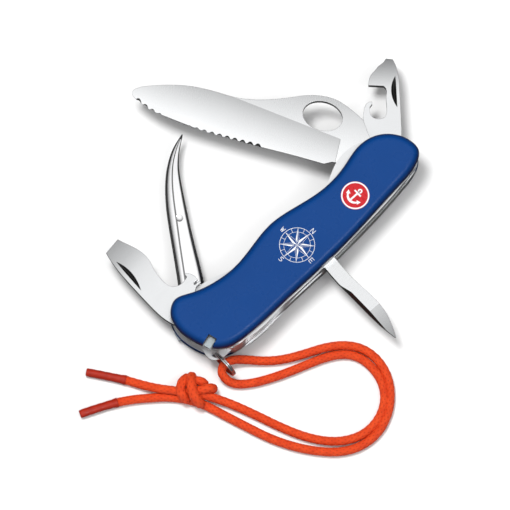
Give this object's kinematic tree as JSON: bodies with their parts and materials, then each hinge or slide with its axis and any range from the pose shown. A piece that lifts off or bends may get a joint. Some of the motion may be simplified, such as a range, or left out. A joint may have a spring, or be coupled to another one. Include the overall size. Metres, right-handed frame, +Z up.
{
  "type": "rigging knife",
  "caption": "Folding rigging knife with a serrated one-hand blade, marlin spike, openers, reamer, locking liners, key ring and a knotted cord lanyard.",
  "frame": {"origin": "centre of the back scale's flat outer face, which the knife lies on", "axes": "+Z up through the layers from the back scale to the front scale, +X along the handle to the blade pivot end, +Y towards the side that the blade opens from"},
  "size_m": [0.175, 0.1561, 0.0213],
  "materials": {
    "scale_plastic": "polished with a soft rim",
    "emblem_enamel": "red enamel",
    "liner_steel": "satin",
    "spring_steel": "satin",
    "pin_brass": "plain",
    "blade_steel": "fine satin",
    "tool_steel": "polished",
    "polished_steel": "mirror",
    "toothpick_plastic": "moulded",
    "ring_steel": "bright wire",
    "cord_braid": "braided",
    "cord_sleeve": "heat-shrunk sleeve"
  },
  "bodies": {
    "handle": {"front_scale": "scale_plastic", "back_scale": "scale_plastic", "emblem_inlay": "emblem_enamel", "back_liner": "liner_steel", "centre_liner": "liner_steel", "blade_lock_liner": "liner_steel", "spike_lock_liner": "liner_steel", "blade_spring": "spring_steel", "opener_spring": "spring_steel", "spike_spring": "spring_steel", "blade_pivot_pin": "pin_brass", "ring_end_pivot_pin": "pin_brass", "reamer_rivet": "pin_brass", "spring_rivet": "pin_brass", "pivot_bushing": "pin_brass"},
    "main_blade": {"main_blade": "blade_steel"},
    "can_opener": {"can_opener": "tool_steel"},
    "bottle_opener": {"bottle_opener": "tool_steel"},
    "marlin_spike": {"marlin_spike": "polished_steel"},
    "reamer": {"reamer": "tool_steel"},
    "blade_lock": {"blade_lock_tongue": "liner_steel"},
    "spike_lock": {"spike_lock_tongue": "liner_steel"},
    "toothpick": {"toothpick": "toothpick_plastic"},
    "tweezers": {"tweezer_arms": "tool_steel", "tweezer_cap": "toothpick_plastic"},
    "key_ring": {"key_ring": "ring_steel", "lanyard_outer_strand": "cord_braid", "lanyard_inner_strand": "cord_braid", "lanyard_knot": "cord_braid", "outer_end_sleeve": "cord_sleeve", "inner_end_sleeve": "cord_sleeve"}
  },
  "joints": [
    {"name": "main_blade_fold", "type": "hinge", "parent": "handle", "child": "main_blade", "pos_m": [0.044, 0.0034, 0.0148], "axis": [0, 0, 1], "range_deg": [-120, 60]},
    {"name": "can_opener_fold", "type": "hinge", "parent": "handle", "child": "can_opener", "pos_m": [0.044, 0.0034, 0.0115], "axis": [0, 0, 1], "range_deg": [-48.5, 131.5]},
    {"name": "bottle_opener_fold", "type": "hinge", "parent": "handle", "child": "bottle_opener", "pos_m": [-0.049, 0.0022, 0.0115], "axis": [0, 0, 1], "range_deg": [-92, 88]},
    {"name": "marlin_spike_fold", "type": "hinge", "parent": "handle", "child": "marlin_spike", "pos_m": [-0.049, 0.0022, 0.0072], "axis": [0, 0, 1], "range_deg": [-55, 125]},
    {"name": "reamer_fold", "type": "hinge", "parent": "handle", "child": "reamer", "pos_m": [0.0033, -0.0104, 0.0115], "axis": [0, 0, 1], "range_deg": [0, 93.5]},
    {"name": "blade_lock_press", "type": "hinge", "parent": "handle", "child": "blade_lock", "pos_m": [-0.004, 0.0063, 0.01655], "axis": [0, -1, 0], "range_deg": [0, 0.6], "stiffness_Nm_per_rad": 0.5, "springref_deg": -2.86},
    {"name": "spike_lock_press", "type": "hinge", "parent": "handle", "child": "spike_lock", "pos_m": [-0.008, 0.006, 0.0098], "axis": [0, 1, 0], "range_deg": [0, 0.5], "stiffness_Nm_per_rad": 0.4, "springref_deg": -2.86},
    {"name": "toothpick_slide", "type": "slide", "parent": "handle", "child": "toothpick", "axis": [-0.9613, -0.2756, 0], "range_m": [0, 0.046]},
    {"name": "tweezers_slide", "type": "slide", "parent": "handle", "child": "tweezers", "axis": [-0.9703, 0.2419, 0], "range_m": [0, 0.022]},
    {"name": "key_ring_swing", "type": "hinge", "parent": "handle", "child": "key_ring", "pos_m": [-0.0512, -0.0106, 0.0098], "axis": [0, 0, 1], "range_deg": [-10, 6]}
  ]
}
